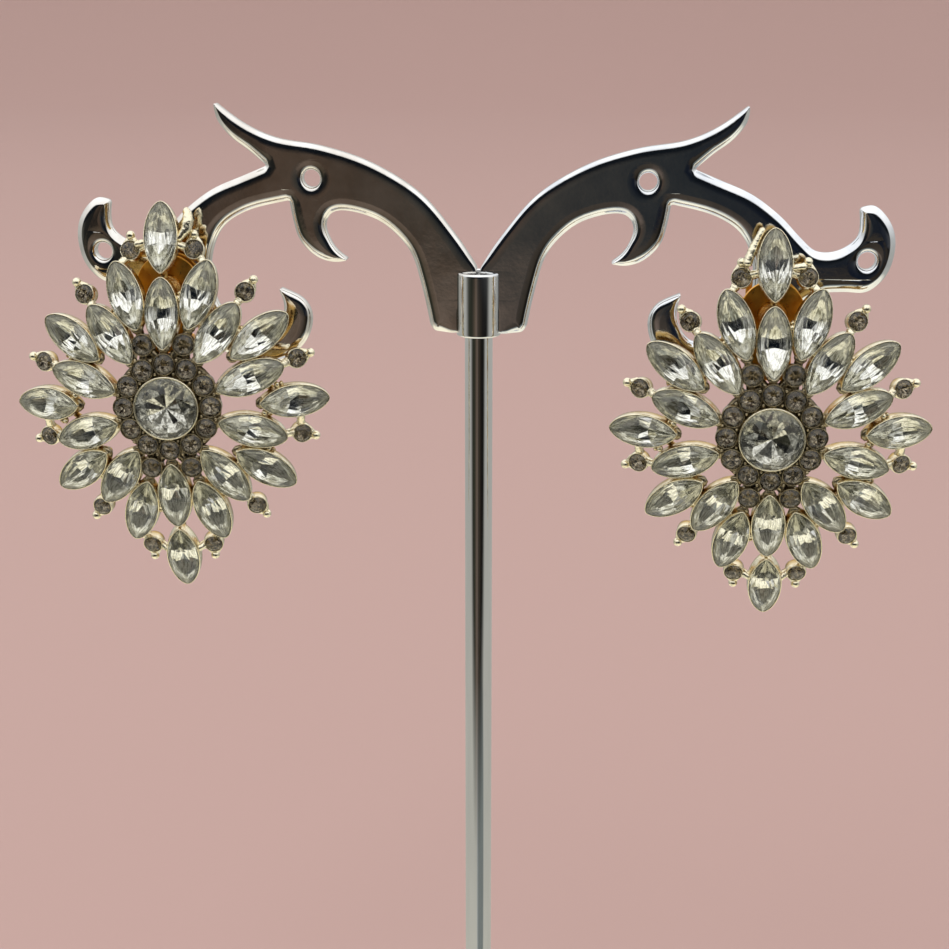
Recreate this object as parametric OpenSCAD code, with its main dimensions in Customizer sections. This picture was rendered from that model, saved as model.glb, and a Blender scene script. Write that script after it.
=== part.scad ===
// Pair of clip-on earrings on their display stand, in millimetres.
// The stand faces -Y, and the origin is the middle of the foot's underside.

/* [Stand] */
// Diameter of the round foot
base_d = 76; // [66:1:80]
// Thickness of the foot
base_h = 4; // [3:0.5:6]
// Diameter of the rod
post_d = 4.4; // [4:0.1:5]
// Height of the collar's underside above the table
collar_z = 142.7; // [130:0.1:160]
// Diameter of the collar
collar_d = 7; // [6.6:0.1:7.2]
// Height of the collar
collar_h = 10; // [9.6:0.1:11]
// Thickness of the plate that the arms are cut from
arm_t = 2.6; // [2:0.1:3]
// Radius of the four hanging holes in the arms
hole_r = 1.4; // [1:0.1:1.8]

/* [Stones] */
// Length of a pointed oval stone
navette_l = 11; // [10.6:0.1:11.1]
// Width of a pointed oval stone
navette_w = 5; // [4.6:0.1:5.1]
// Diameter of a small round stone
small_d = 2.9; // [2.6:0.1:3]
// Diameter of the round stone in the middle
centre_d = 9.6; // [9:0.1:9.8]

/* [Frame] */
// Length of the cup round a pointed oval stone
cup_l = 11.7; // [11.6:0.1:11.9]
// Width of the cup round a pointed oval stone
cup_w = 5.6; // [5.5:0.1:5.7]
// Diameter of the cup round a small stone
small_cup_d = 3.5; // [3.4:0.1:3.6]
// Radius of the circle of small stones round the middle
ring_r = 6.9; // [6.9:0.1:7]
// Diameter of the balls on the rim
ball_d = 1.7; // [1.6:0.1:1.8]
// Radius of the frame's curve from side to side
curve_across = 50; // [45:1:60]
// Radius of the frame's curve from top to bottom
curve_down = 75; // [65:1:90]

/* [Clip] */
// Thickness of the clip's sheet metal
sheet_t = 0.8; // [0.7:0.1:0.9]
// Radius of the hinge pin
pin_r = 0.5; // [0.4:0.05:0.5]
// Width of the lever at its hinge
lever_w = 3.8; // [3:0.1:4]
// Radius of the lever's round pad
pad_r = 3.9; // [3:0.1:4]

/* [Hidden] */
// Gap between two pieces that are fitted or soldered together
fit = 0.05;
// Running clearance round the hinge pin
hinge_fit = 0.06;

// Where the two earrings hang, and how each is turned, leans forward at its top and is rolled
sides = ["left", "right"];
ear_at = [[-48.1, -11.5, collar_z - 10.4], [45.8, -10.3, collar_z - 13.7]];
ear_turn = [2.7, -0.5];
ear_lean = [0, 2.8];
ear_roll = [-1.2, -1.1];

// Twenty pointed stones stand on rays at equal steps. The rows give the radius of a stone's
// middle on the rays from the top to the side, and every quarter of the frame repeats them.
rays = 20;
ray_step = 360 / rays;
ray_r = [14.7, 18.3, 14.2, 18.2, 13.8, 19.7];
// One more pointed stone at the top and one at the bottom
tip_r = 26.1;
navettes = rays + 2;

// Small stones on the rim of an upper quarter: angle from the top, radius, the way its ball
// points, and how much further round it stands in a lower quarter, counted from the bottom
rim = [
    [11.7, 24.6, 30, 0],
    [36, 21.5, 36, 0],
    [72, 21.2, 72, 2.5]
];
rim_lower = 1;
ball_out = 2.15;
// Small accent stones between the ring and the far stones: angle from the top and radius
accent = [18, 10.4];
// Flats along each side of a pointed oval
lens_arc = 4;
ring_stones = 12;
quarters = [[1, 1], [1, -1], [-1, -1], [-1, 1]];

// Heights in the frame, measured outwards from the top of the middle stone
dome_top = -1;
cup_h = 2.4;
cup_rim = 0.15;
pocket_h = 1.6;
small_cup_h = 2;
small_pocket_h = 1.25;
plate_r = 9.4;
plate_h = 0.9;
bridge_r = 0.5;
bridge_depth = 1.75;
centre_rim = -0.7;
centre_cup_h = 2.8;
centre_pocket_h = 2;
cup_wall = 0.35;

// Clip: heights behind the middle stone, and distances up from the earring's middle
hinge_v = 8.5;
hinge_n = -11;
base_back = -9.4;
boss_v = 17.5;
boss_r = 2.4;
backplate_v = 18;
backplate_r = 5;
backplate_w = 6.2;
ear_r = 1.3;
ear_t = 1;
barrel_r = 1.1;
lever_front = -13.1;
pad_v = 20.2;

// Collar slot and post socket
slot_floor = 4;
socket_h = 3;

// Arm outline in a few knots, from the post's axis outwards and from the collar's underside up.
// The arm is one run of smooth curves that meet at its tips and notches.
arm_gap = 0.3;
tongue_x = collar_d / 2 + 0.15;
tongue_z = slot_floor + 0.2;
crown = [[arm_gap, 10.7], [3.3, 15.3], [9, 22], [16.5, 26.65], [24.2, 29.2], [31.3, 30.4], [36.3, 32.5]];
horn = [[40.9, 35.8], [40.6, 33.3], [38.6, 30.7], [35.8, 28.6]];
limb_top = [[33, 26.2], [36.7, 24.65], [41.8, 22.45], [46.2, 19.25], [49.5, 15.9], [52, 13.9], [55.3, 14.1], [58.1, 16.4]];
outer_hook = [[58.1, 20.6], [60.5, 20.9], [63, 18.2], [63.8, 14.6], [62.8, 10.5], [60, 7.8], [56.4, 7.7], [52.6, 7.3]];
lower_hook = [[49, 5.1], [46, 1.5], [42.6, -2.1], [37.6, -4.9], [31.8, -4.7], [27.8, -1.7], [26.5, 2.3], [27.9, 5.3]];
lower_inner = [[31.6, 7.1], [31, 3.3], [33.2, -0.3], [37.6, 0.1], [41.5, 4.5], [42.5, 10.5], [40.7, 16.1], [36.3, 19.2]];
hook_out = [[29.6, 20.9], [29.1, 17.9], [28.1, 14.7], [25.6, 12.2], [22.8, 11.3]];
hook_in = [[20.5, 11.7], [22.8, 13.8], [23.95, 17], [22.6, 19.2], [19, 19.1], [14.6, 17.3], [10.8, 13.3], [9, 8]];
foot = [[7.6, 1.6], [6.9, 0.6], [tongue_x, 0.4], [tongue_x, tongue_z], [arm_gap, tongue_z]];
curve_steps = 4;
holes = [[26, 24.3], [59.6, 12.6]];

earring_pieces = concat(
    ["frame", "clip_base", "clip_lever", "centre_stone", "small_stones"],
    [for (i = [1 : navettes]) navette_name(i)]
);

function navette_name(i) = str("navette_", i < 10 ? "0" : "", i);

// A smooth curve through knots, without its last point
function between(a, b, c, d, t) =
    (2 * b + (c - a) * t + (2 * a - 5 * b + 4 * c - d) * t * t + (3 * b - a - 3 * c + d) * t * t * t) / 2;
function smooth(knots, end) = [
    for (all = [concat(knots, [end])], i = [0 : len(all) - 2], k = [0 : curve_steps - 1])
        between(all[max(i - 1, 0)], all[i], all[i + 1], all[min(i + 2, len(all) - 1)], k / curve_steps)
];

// The arched face that the stones stand on, and its fall along a ray
function dome(u, v) = dome_top - u * u / curve_across / 2 - v * v / curve_down / 2;
function fall(a, r) = atan(r * (pow(sin(a), 2) / curve_across + pow(cos(a), 2) / curve_down));
function ray_place(k) = [k * ray_step, ray_r[min(k % 10, 10 - k % 10)]];
function navette_place(i) = i <= rays ? ray_place(i - 1) : [i == navettes ? 180 : 0, tip_r];
function rim_rows(q) = [for (row = rim) [row[0] + (q[1] < 0 ? row[3] : 0), row[1], row[2]]];
function behind(a, r, depth) = [r * sin(a), r * cos(a), dome(r * sin(a), r * cos(a)) - depth];

// A pointed oval: two equal arcs that meet at its tips
function lens(l, w, steps) =
    let (r = (l * l + w * w) / w / 4, half = asin(l / 2 / r), inset = r - w / 2)
    concat(
        [for (i = [0 : steps]) [r * cos(half * (2 * i / steps - 1)) - inset, r * sin(half * (2 * i / steps - 1))]],
        [for (i = [1 : steps - 1]) [inset - r * cos(half * (1 - 2 * i / steps)), r * sin(half * (1 - 2 * i / steps))]]
    );

// Puts a part on the arched face, its length along the ray and its top outwards
module seat(a, r, lower = 0) {
    translate(behind(a, r, lower)) rotate([0, 0, -a]) rotate([-fall(a, r), 0, 0]) children();
}

// Puts a part at each small stone on the rim, in the ring and among the accents
module each_small() {
    for (q = quarters, row = rim_rows(q)) scale_quarter(q) seat(row[0], row[1], rim_lower) children();
    for (q = quarters) scale_quarter(q) seat(accent[0], accent[1]) children();
    for (i = [0 : ring_stones - 1]) seat(i * 360 / ring_stones, ring_r) children();
}

// Mirrors a part of the upper right quarter into another quarter
module scale_quarter(q) {
    mirror([q[0] < 0 ? 1 : 0, 0, 0]) mirror([0, q[1] < 0 ? 1 : 0, 0]) children();
}

// Stands an earring up, facing -Y, and hangs it in its place on an arm
module hang(side) {
    translate(ear_at[side]) rotate([0, 0, ear_turn[side]]) rotate([ear_lean[side], 0, 0])
        rotate([0, ear_roll[side], 0]) rotate([90, 0, 0]) children();
}

module stand_base() {
    color("silver") difference() {
        union() {
            cylinder(h = base_h - 1, d = base_d, $fn = 96);
            translate([0, 0, base_h - 1]) cylinder(h = 1, d1 = base_d, d2 = base_d - 2, $fn = 96);
        }
        translate([0, 0, 1]) cylinder(h = base_h, d = post_d + 2 * fit, $fn = 48);
    }
}

module stand_post() {
    color("silver") translate([0, 0, 1 + fit])
        cylinder(h = collar_z + socket_h - 1 - 2 * fit, d = post_d, $fn = 48);
}

module stand_collar() {
    color("silver") translate([0, 0, collar_z]) difference() {
        cylinder(h = collar_h, d = collar_d, $fn = 64);
        translate([0, 0, -1]) cylinder(h = socket_h + 1, d = post_d + 2 * fit, $fn = 48);
        translate([-collar_d, -arm_t / 2 - fit, slot_floor]) cube([2 * collar_d, arm_t + 2 * fit, collar_h]);
    }
}

module stand_arm() {
    outline = concat(
        smooth(crown, horn[0]), smooth(horn, limb_top[0]), smooth(limb_top, outer_hook[0]),
        smooth(concat(outer_hook, lower_hook), lower_inner[0]), smooth(lower_inner, hook_out[0]),
        smooth(hook_out, hook_in[0]), smooth(hook_in, foot[0]), foot
    );
    color("silver") translate([0, 0, collar_z]) rotate([90, 0, 0]) difference() {
        linear_extrude(height = arm_t, center = true) polygon(outline);
        for (hole = holes) translate(hole) cylinder(h = 2 * arm_t, r = hole_r, center = true, $fn = 48);
    }
}

module navette_cup() {
    translate([0, 0, cup_rim - cup_h]) linear_extrude(height = cup_h) polygon(lens(cup_l, cup_w, lens_arc));
}

module navette_pocket() {
    translate([0, 0, cup_rim - pocket_h]) linear_extrude(height = pocket_h + 1)
        polygon(lens(navette_l + 4 * fit, navette_w + 2 * fit, lens_arc));
}

module small_cup() {
    translate([0, 0, cup_rim - small_cup_h]) cylinder(h = small_cup_h, d = small_cup_d, $fn = 12);
}

module small_pocket() {
    translate([0, 0, cup_rim - small_pocket_h]) cylinder(h = small_cup_h, d = small_d + 4 * fit, $fn = 12);
}

// A round bar between two cups, each given by its angle and radius, at their backs
module bridge(from, to, lower = 0) {
    hull() {
        translate(behind(from[0], from[1], bridge_depth)) sphere(r = bridge_r, $fn = 6);
        translate(behind(to[0], to[1], bridge_depth + lower)) sphere(r = bridge_r, $fn = 6);
    }
}

module bridges() {
    for (k = [0 : rays - 1]) bridge(ray_place(k), ray_place((k + 1) % rays));
    for (k = [0, 10]) bridge(ray_place(k), [ray_place(k)[0], tip_r]);
    for (q = quarters) scale_quarter(q) {
        rows = rim_rows(q);
        bridge([0, tip_r], rows[0], rim_lower);
        bridge(ray_place(1), rows[0], rim_lower);
        bridge(ray_place(2), rows[1], rim_lower);
        bridge(ray_place(4), rows[2], rim_lower);
        bridge(ray_place(1), accent);
    }
}

module balls() {
    for (q = quarters, row = rim_rows(q)) scale_quarter(q)
        translate(behind(row[0], row[1], rim_lower + ball_d / 4))
            translate(ball_out * [sin(row[2]), cos(row[2]), -sin(fall(row[0], row[1]))])
                sphere(d = ball_d, $fn = 8);
}

module frame() {
    color("gold") difference() {
        union() {
            for (i = [1 : navettes]) seat(navette_place(i)[0], navette_place(i)[1]) navette_cup();
            each_small() small_cup();
            bridges();
            balls();
            translate([0, 0, centre_rim - centre_cup_h])
                cylinder(h = centre_cup_h, d = centre_d + 2 * cup_wall, $fn = 32);
            translate([0, 0, centre_rim - centre_cup_h]) cylinder(h = plate_h, r = plate_r, $fn = 30);
            translate([0, boss_v, base_back + sheet_t + fit])
                cylinder(h = behind(0, boss_v, 1.5)[2] - base_back - sheet_t, r = boss_r, $fn = 16);
        }
        for (i = [1 : navettes]) seat(navette_place(i)[0], navette_place(i)[1]) navette_pocket();
        each_small() small_pocket();
        translate([0, 0, centre_rim - centre_pocket_h])
            cylinder(h = centre_pocket_h + 2, d = centre_d + 2 * fit, $fn = 32);
    }
}

// Rows of the cut stone, from its table down to its back: size of the oval and height
navette_cut = [[0.46, 1.3], [1, 0.1], [1, -0.15], [0.28, -1.35]];

module navette() {
    count = 2 * lens_arc;
    rows = len(navette_cut);
    points = [for (row = navette_cut, p = lens(navette_l, navette_w, lens_arc)) [p[0] * row[0], p[1] * row[0], row[1]]];
    walls = [
        for (r = [0 : rows - 2], i = [0 : count - 1])
            [r * count + i, r * count + (i + 1) % count, (r + 1) * count + (i + 1) % count, (r + 1) * count + i]
    ];
    table = [for (i = [0 : count - 1]) count - 1 - i];
    back = [for (i = [0 : count - 1]) (rows - 1) * count + i];
    color("white") polyhedron(points = points, faces = concat(walls, [table, back]), convexity = 2);
}

// A round cut stone: a table, sloping crown, thin girdle and pointed back
module round_stone(d, crown_h, back_h, table_share) {
    cylinder(h = crown_h, d1 = d, d2 = d * table_share, $fn = 64);
    translate([0, 0, -0.1]) cylinder(h = 0.1, d = d, $fn = 64);
    translate([0, 0, -0.1 - back_h]) cylinder(h = back_h, d1 = d * 0.2, d2 = d, $fn = 64);
}

module small_stones() {
    color("dimgray") each_small() round_stone(small_d, 0.55, 0.85, 0.55);
}

module centre_stone() {
    color("white") translate([0, 0, centre_rim]) round_stone(centre_d, 1.3, 1.7, 0.56);
}

// A round bar across the clip, in line with its hinge
module across(length, r) {
    translate([-length / 2, hinge_v, hinge_n]) rotate([0, 90, 0]) cylinder(h = length, r = r, $fn = 40);
}

module clip_base() {
    ear_drop = base_back - hinge_n;
    color("gold") {
        translate([0, backplate_v, base_back]) cylinder(h = sheet_t, r = backplate_r, $fn = 64);
        translate([-backplate_w / 2, hinge_v - ear_r, base_back]) cube([backplate_w, backplate_v - hinge_v + ear_r, sheet_t]);
        for (x = [-backplate_w / 2, backplate_w / 2 - ear_t]) {
            translate([x, hinge_v - ear_r, hinge_n]) cube([ear_t, 2 * ear_r, ear_drop + sheet_t / 2]);
            translate([x, hinge_v, hinge_n]) rotate([0, 90, 0]) cylinder(h = ear_t, r = ear_r, $fn = 40);
        }
        across(backplate_w, pin_r);
    }
}

module clip_lever() {
    lever_back = lever_front - sheet_t;
    color("gold") difference() {
        union() {
            across(lever_w, barrel_r);
            translate([-lever_w / 2, hinge_v - barrel_r, lever_back]) cube([lever_w, 2 * barrel_r, hinge_n - lever_back]);
            translate([-lever_w / 2, hinge_v, lever_back]) cube([lever_w, pad_v - hinge_v, sheet_t]);
            translate([0, pad_v, lever_back]) cylinder(h = sheet_t, r = pad_r, $fn = 64);
        }
        across(lever_w + 2, pin_r + hinge_fit);
    }
}

stand_base();
stand_post();
stand_collar();
mirror([1, 0, 0]) stand_arm();  // stand_arm_left
stand_arm();  // stand_arm_right
for (side = [0, 1]) {
    hang(side) frame();
    hang(side) clip_base();
    hang(side) clip_lever();
    hang(side) centre_stone();
    hang(side) small_stones();
    for (i = [1 : navettes])
        hang(side) seat(navette_place(i)[0], navette_place(i)[1]) navette();
}
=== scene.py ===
from math import asin, copysign, cos, degrees, hypot, pi, radians, sin, tan

import bmesh
import bpy
import numpy as np
from mathutils import Matrix, Vector
from mathutils.geometry import tessellate_polygon
from numpy.linalg import norm, svd


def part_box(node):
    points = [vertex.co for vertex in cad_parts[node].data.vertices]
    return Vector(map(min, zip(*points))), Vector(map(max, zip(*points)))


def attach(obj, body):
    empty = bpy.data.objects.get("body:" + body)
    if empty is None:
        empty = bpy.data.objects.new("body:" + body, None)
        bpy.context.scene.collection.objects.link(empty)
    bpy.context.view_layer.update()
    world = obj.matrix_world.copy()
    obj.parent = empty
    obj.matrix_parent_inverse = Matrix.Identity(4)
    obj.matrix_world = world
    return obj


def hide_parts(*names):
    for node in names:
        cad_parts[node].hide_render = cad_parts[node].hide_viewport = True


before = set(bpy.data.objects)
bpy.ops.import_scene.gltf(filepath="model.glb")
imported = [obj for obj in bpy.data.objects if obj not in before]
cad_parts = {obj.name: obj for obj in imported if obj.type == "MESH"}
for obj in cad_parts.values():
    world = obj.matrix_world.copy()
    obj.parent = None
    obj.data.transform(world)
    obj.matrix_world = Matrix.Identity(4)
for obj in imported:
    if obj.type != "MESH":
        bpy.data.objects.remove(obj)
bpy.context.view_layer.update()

# Every length below is in millimetres, and a piece's mesh is scaled to metres when it is made.
MM = 0.001

# The photograph's view: what the camera looks at, where it stands and its lens
VIEW_TARGET = Vector((-0.56, -1.3, 120))
VIEW_DISTANCE, VIEW_AZIMUTH, VIEW_ELEVATION = 274.1, radians(4.84), radians(16.3)
SENSOR, LENS = 36, 64.49

# Stones: the cut's shares of the outline and its heights above the seat
ROUND_CUT = dict(
    table=0.56, table_z=1.3, star=0.76, star_z=0.8, girdle=(0.0, -0.1),
    lower=0.55, lower_z=-0.8, culet_z=-1.2, uneven=0.2
)
SMALL_CUT = dict(
    table=0.55, table_z=0.55, star=0.76, star_z=0.36, girdle=(0.0, -0.08),
    lower=0.45, lower_z=-0.62, culet_z=-0.78, uneven=0.1
)
MAINS = 8
FULLNESS_OUT, FULLNESS_IN = 1.2, 1.5
STREAKS_APART = 90

# Pointed stones: the back's ridges are share of the half width, distance from the middle, and height
NAVETTE_TABLE, NAVETTE_GIRDLE = (0.52, 1.12), (0.1, -0.12)
NAVETTE_RIDGES = ((0.62, 1.05, -1.2), (0.3, 0.85, -1.42), (0.0, 0.7, -1.52))
NAVETTE_UNEVEN = 0.13

# Where the accents and the rim begin, from an earring's middle, how far stones stand out of their CAD
# places, and how much larger those within the rim are
ACCENT_FROM, RIM_FROM, RIM_TO = 8.5, 12, 99
LIFT, CENTRE_LIFT, SMALL_LIFT = 0.025, 0.25, 0.2
RING_SCALE = 1.1

# Settings: sections of a cup, as distance out from the stone's edge and height above its seat
CUP_SECTION = (
    (-1.6, -2), (-0.6, -1.7), (0.02, -0.9), (0.02, 0.04), (0.04, 0.12), (0.09, 0.15), (0.15, 0.12),
    (0.19, 0.03), (0.24, -0.4), (0.3, -1.2), (0.28, -1.7), (0.12, -2.05), (-0.35, -2.22), (-1.2, -2.25)
)
SMALL_SECTION = (
    (-0.9, -1.3), (-0.3, -1.05), (0.01, -0.7), (0.01, -0.02), (0.03, 0.06), (0.07, 0.09), (0.12, 0.07),
    (0.15, 0), (0.2, -0.5), (0.22, -1.2), (0.16, -1.6), (-0.06, -1.8), (-0.6, -1.85)
)
CENTRE_SECTION = (
    (-3, -2), (-1, -1.6), (0.02, -0.8), (0.02, 0.06), (0.06, 0.15), (0.14, 0.19), (0.24, 0.15),
    (0.3, 0.03), (0.34, -0.6), (0.38, -2), (0.2, -2.6), (-1, -2.75), (-3, -2.8)
)
# The plate behind the ring and the clip's boss, as radius and height
BACK_PLATE = ((0.1, -1.5), (7.9, -1.5), (8.3, -1.7), (8.4, -2.2), (8.2, -2.7), (0.1, -2.8))
BOSS = ((0.1, -7.85), (2.3, -7.85), (2.4, -7.7), (2.2, -6.9), (1.2, -5.6), (1.1, -3.8), (0.1, -3.4))
BOSS_UP = 17.5
# A rim stone's ball, and its neck's bars: turn from the ball's way, depth and radius
BALL_RADIUS, BALL_OUT, BALL_SUNK, BALL_LONG = 0.72, 2.35, 0.3, 0.06
BALL_NEAR, BALL_FAR = 2.3, 3.6
NECK = ((-0.75, 0.5, 0.3), (-0.35, 0.45, 0.4), (0.0, 0.5, 0.4), (0.35, 0.45, 0.4), (0.75, 0.5, 0.3))
NECK_FROM, NECK_RISE, NECK_END = 1.5, 0.35, 0.42
# Rough webs from a rim stone to its neighbours: distance and depth of each point
WEB_REACH, WEB_DEPTH = 3.3, 0.7
WEB_STARTS, WEB_END = ((1.0, 1.0), (1.8, 0.75)), (0.35, 0.2)
WEB_RADII = (0.85, 0.72, 0.6)
ACCENT_WEB_DEPTH, ACCENT_WEB_RADII = 1.2, (0.8, 0.7)
# Bars behind the rays and behind the tips: depth and radius
RAYS, BRIDGE, TIP_BRIDGE = 20, (2.35, 0.5), (2.4, 0.6)
# Lumps where cups meet: distance away from the middle, depth and radius
JOINT_DEPTH, JOINT_LUMPS = 0.5, ((0.0, 0.2, 0.5), (0.75, 0.45, 0.42))
# Beads between the stones of the ring: distance away from the middle, height and radius
BEADS_APART, BEADS = (0.5, 4.2), ((1.15, 0.0, 0.3), (-1.1, 0.05, 0.24))
# Rough ridges at each ray's inner tip and beside each top stone: places across and along it, and radii
INNER_DEPTH, TOP_DEPTH = 0.85, 0.7
INNER_RIDGE = ((-0.8, 0.25, 0.3), (-0.35, -0.2, 0.45), (0.35, -0.2, 0.45), (0.8, 0.25, 0.3))
TOP_RIDGES = {
    "left": (
        ((2.7, -0.2, 0.55), (3.9, 1.4, 0.9), (4.2, 3.0, 0.95), (3.9, 4.4, 0.55)),
        ((-2.6, -0.6, 0.5), (-3.9, -0.9, 0.6))
    ),
    "right": (
        ((-4.2, 0.3, 0.75), (-3.5, 2.2, 0.7), (-2.7, 4.0, 0.6), (-1.9, 5.5, 0.5)),
        ((2.6, -0.4, 0.5), (4.4, -0.1, 0.6))
    ),
}
# The depth at which painted shade begins to darken the gold, and how much further down it is darkest
HOLLOW_SHADE_FROM, HOLLOW_SHADE_DEEP = 0.2, 0.85
WELD = 0.002

# Turned parts of the stand: sections begin close to the axis, and corners are rounded
NEAR_AXIS = 0.1
FOOT_ROUND = (0.5, 1.8)
COLLAR_ROUND, COLLAR_BORE, COLLAR_LIP, SOCKET = (0.35, 0.45, 0.3), 2.3, 2.6, (2.5, 2.5, 2.6)

# Arms: how the plate's edge is rounded
ROUNDING, ROUNDING_WIDE, ROUNDING_HOLE = 0.75, 0.95, 0.32
WIDE_FROM, WIDE_TO = 42, 54
CROWN_SHARE, CROWN_TO, CROWN_ABOVE = 0.5, 32, 170
COLLAR_BESIDE, COLLAR_ABOVE, COLLAR_SHARE = (4.0, 6.0), 3.0, 0.1
COLLAR_TUCK, SLOT_FLOOR = 2.9, 4.5
ROUNDING_DEPTH, ROUNDING_POWER, ROUNDING_STEPS = 0.95, 1.2, 8
DOME_REACH, DOME_STEPS, DOME_SHARE, DOME_SLOPE = 1.5, 3, 0.8, tan(radians(8))
OUTLINE_STEP, CORNER, UNEVEN = 0.35, radians(38), 2.5

# Clips, in an earring's own frame: up from its middle, and out from the middle stone's seat
HINGE_UP, HINGE_OUT = 8.5, -10.3
PLATE_BACK, SHEET = -8.7, 0.8
PLATE_UP, PLATE_RADIUS, PLATE_HALF, PLATE_EDGE = 18.0, 5.0, 3.1, 0.18
EAR_RADIUS, EAR_THICK, EAR_EDGE = 1.3, 1.0, 0.15
BARREL, BARREL_EDGE, PIN, PIN_FIT = 1.1, 0.15, 0.5, 0.06
PIN_HEAD = ((-0.3, 0.1), (-0.25, 0.4), (0, 0.62), (0.1, PIN))
LEVER_HALF, LEVER_FRONT, LEVER_EDGE = 1.9, -12.4, 0.2
CHEEK_HALF, CHEEK_IN, CHEEK_EDGE = 0.18, 0.05, 0.06
PAD_UP, PAD_RADIUS = 20.2, 3.9
PAD_RIM = ((1.1, 0.0), (0.95, 0.22), (0.7, 0.3), (0.45, 0.22), (0.3, 0.0))

# Surroundings: colours by height, and by direction across the dark room in front, in degrees
SKY = (
    (-90, (1.15, 1.08, 0.86)), (-40, (1.1, 1.05, 0.85)), (-32, (0.5, 0.49, 0.43)), (-15, (0.4, 0.4, 0.37)),
    (0, (0.55, 0.55, 0.52)), (15, (0.85, 0.85, 0.83)), (32, (1.2, 1.2, 1.19)), (90, (1.35, 1.35, 1.35))
)
ROOM_HIGH = (
    (-60, (0.12, 0.12, 0.1)), (-34, (0.02, 0.02, 0.018)), (-18, (0.014, 0.014, 0.013)),
    (-12, (0.085, 0.058, 0.042)), (-4, (0.052, 0.047, 0.04)), (2, (0.024, 0.027, 0.029)),
    (10, (0.007, 0.01, 0.018)), (60, (0.1, 0.1, 0.1))
)
ROOM_TOP = (0.006, 0.008, 0.011)
ROOM_LOW = (
    (-60, (0.18, 0.18, 0.17)), (-45, (0.03, 0.032, 0.022)), (-30, (0.03, 0.03, 0.022)),
    (-17, (0.09, 0.07, 0.05)), (-8, (0.16, 0.12, 0.095)), (0, (0.06, 0.048, 0.038)),
    (12, (0.035, 0.028, 0.02)), (25, (0.012, 0.01, 0.008)), (42, (0.008, 0.008, 0.007)),
    (60, (0.1, 0.1, 0.09))
)
TABLE_EDGE = (
    (-60, (0.46, 0.46, 0.44)), (-8, (0.4, 0.42, 0.41)), (6, (0.19, 0.21, 0.2)), (45, (0.18, 0.2, 0.19)),
    (60, (0.38, 0.4, 0.38))
)
ROOM_MIDDLE, ROOM_REACH = (-2, -2), (60, 24.5)
ROOM_LOW_TO_HIGH, ROOM_HIGH_TO_TOP = (-11, -8.5), (-3, 3)
TABLE_MIDDLE, TABLE_REACH = (22, -29), (30, 6)
PATCH_SOFT = 0.36
FLOOR_COLOUR = (0.50, 0.335, 0.305)

# The stage and the lamp, in metres
FLOOR_HALF, FLOOR_FRONT, FLOOR_BACK, FLOOR_BEND, FLOOR_TOP, FLOOR_STEPS = 6.0, -4.6, 2.2, 1.0, 5.0, 12
CURTAIN_RADIUS, CURTAIN_TOP, CURTAIN_STEPS = 4.5, 6.0, 96
LAMP_SIZE, LAMP_POWER, LAMP_AT, LAMP_AIM = (1.6, 1.2), 14, (-0.9, -0.9, 2.0), (0, 0.4, 0.1)

LUMPS = np.random.default_rng(7)


def linked(name, data):
    """A new object in the scene for a mesh, a lamp or a camera."""
    made = bpy.data.objects.new(name, data)
    bpy.context.scene.collection.objects.link(made)
    return made


def cleaned(mesh, gap=0):
    """Joins points closer together than a gap, and turns all faces outwards."""
    shape = bmesh.new()
    shape.from_mesh(mesh)
    if gap:
        bmesh.ops.remove_doubles(shape, verts=shape.verts, dist=gap * MM)
    bmesh.ops.recalc_face_normals(shape, faces=shape.faces)
    shape.to_mesh(mesh)
    shape.free()


class Shape:
    """The points and faces of one piece, in millimetres in the model's frame."""

    def __init__(self):
        self.points = []
        self.faces = []
        self.paints = []
        # A cut stone's points in its own frame, as shares of its half width and half length
        self.cut = []

    def add(self, points, faces, place=None, paint=0):
        start = len(self.points)
        self.points += [place @ Vector(p) if place else Vector(p) for p in points]
        self.faces += [tuple(start + i for i in face) for face in faces]
        self.paints += [paint] * len(faces) if isinstance(paint, int) else paint

    def loft(self, rings, place=None, caps=True, paint=0):
        """Joins rings of equal length one to the next, and closes the first and last."""
        count = len(rings[0])
        points = [p for ring in rings for p in ring]
        last = len(points) - count
        faces = [
            (r + i, r + (i + 1) % count, r + count + (i + 1) % count, r + count + i)
            for r in range(0, last, count) for i in range(count)
        ]
        if caps:
            faces += [tuple(reversed(range(count))), tuple(range(last, len(points)))]
        self.add(points, faces, place, paint)

    def piece(self, name, materials, node, body="stand", gap=0):
        """Makes the piece, which takes the place of a CAD node."""
        mesh = bpy.data.meshes.new(name)
        mesh.from_pydata([p * MM for p in self.points], [], self.faces)
        mesh.polygons.foreach_set("use_smooth", [not self.cut] * len(self.faces))
        mesh.polygons.foreach_set("material_index", self.paints)
        for material in materials:
            mesh.materials.append(material)
        cleaned(mesh)
        made = linked(name, mesh)
        if self.cut:
            cut = mesh.attributes.new("cut", "FLOAT_VECTOR", "POINT")
            cut.data.foreach_set("vector", np.array(self.cut, np.float32).ravel())
        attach(made, body)
        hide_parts(node)
        if gap:
            cleaned(mesh, gap)
        return mesh


# Materials

def fill(tree, made, inputs):
    """Links a node's inputs to sockets, or sets them to plain values."""
    for name, value in inputs.items():
        if isinstance(value, bpy.types.NodeSocket):
            tree.links.new(value, made.inputs[name])
        else:
            made.inputs[name].default_value = value


def node(tree, kind, inputs=None, **settings):
    """Adds a node with its settings and inputs, and gives its outputs."""
    made = tree.nodes.new("ShaderNode" + kind)
    for name, value in settings.items():
        setattr(made, name, value)
    fill(tree, made, inputs or {})
    return made.outputs


def shader(name):
    """A new material with its nodes and its Principled shader."""
    material = bpy.data.materials.new(name)
    material.use_nodes = True
    tree = material.node_tree
    return material, tree, tree.nodes["Principled BSDF"]


def place_of(tree):
    """Object coordinates in millimetres."""
    where = node(tree, "TexCoord")["Object"]
    return node(tree, "Mapping", {"Vector": where, "Scale": (1000, 1000, 1000)})["Vector"]


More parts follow.
